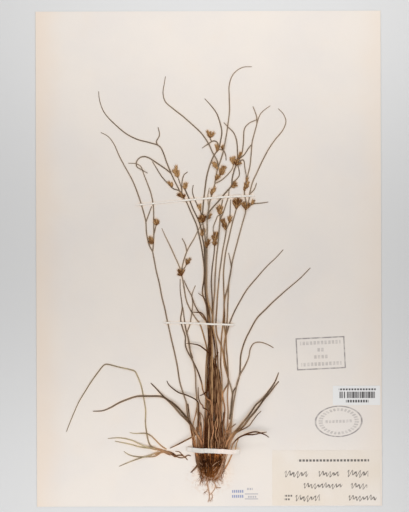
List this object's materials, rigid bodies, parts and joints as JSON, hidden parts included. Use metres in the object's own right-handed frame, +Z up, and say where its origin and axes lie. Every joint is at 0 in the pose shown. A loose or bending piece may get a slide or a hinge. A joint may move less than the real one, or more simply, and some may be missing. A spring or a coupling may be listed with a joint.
{
  "type": "pressed path rush on mounting sheet",
  "caption": "Dried, pressed tuft of a slender rush with bracts, capsules, leaves and roots, held on a mounting sheet by narrow paper straps beside plain labels",
  "frame": {"origin": "middle of the mounting sheet's underside, on the surface that it lies on", "axes": "+Z up out of the sheet's face, +Y towards the sheet's top edge and the plant's tips, +X towards the labels' side"},
  "size_m": [0.2922, 0.419, 0.0084],
  "materials": {
    "sheet_paper": "heavy cream rag paper, aged, matte, warmer along the left edge",
    "label_paper": "thin yellowed label paper, bare or with plain rules",
    "slip_paper": "smooth white paper with plain bars",
    "strap_paper": "gummed cream paper strip",
    "stem": "dried rush stem, grey brown, faintly ridged lengthwise",
    "leaf": "dried wiry leaf, brown, rolled edges",
    "old_sheath": "dried papery sheath, dark red brown, fibrous",
    "side_leaf": "dried young leaf, pale olive grey",
    "rootstock": "dried root and leaf bases, dark brown, fibrous"
  },
  "bodies": {
    "root": {"mounting_sheet": "sheet_paper", "main_label": "label_paper", "small_label": "slip_paper", "rootstock": "rootstock", "side_shoot_base": "old_sheath", "side_leaf_1": "side_leaf", "side_leaf_2": "side_leaf", "side_leaf_3": "side_leaf", "side_leaf_4": "side_leaf", "side_leaf_5": "side_leaf", "side_leaf_6": "side_leaf", "old_sheath_1": "old_sheath", "old_sheath_2": "old_sheath", "old_sheath_3": "old_sheath", "old_sheath_4": "old_sheath", "old_sheath_5": "old_sheath", "culm_1": "stem", "culm_2": "stem", "culm_3": "stem", "culm_4": "stem", "culm_5": "stem", "culm_6": "stem", "culm_6_right_bract": "stem", "culm_6_left_bract": "stem", "culm_6_branch": "stem", "culm_7": "stem", "culm_8": "stem", "culm_9": "stem", "culm_10": "stem", "culm_11": "stem", "leaf_1": "leaf", "leaf_2": "leaf", "leaf_3": "leaf", "leaf_4": "leaf", "leaf_5": "leaf", "leaf_6": "leaf", "leaf_7": "leaf", "leaf_8": "leaf", "leaf_9": "leaf", "leaf_10": "leaf", "leaf_11": "leaf", "leaf_12": "leaf", "leaf_13": "leaf", "leaf_14": "leaf", "leaf_15": "leaf", "leaf_16": "leaf", "leaf_17": "leaf", "leaf_18": "leaf", "leaf_19": "leaf", "leaf_20": "leaf", "leaf_21": "leaf", "leaf_22": "leaf", "leaf_23": "leaf", "leaf_24": "leaf", "leaf_25": "leaf", "leaf_26": "leaf", "strap_top": "strap_paper", "strap_middle": "strap_paper", "strap_base": "strap_paper"}
  },
  "joints": []
}
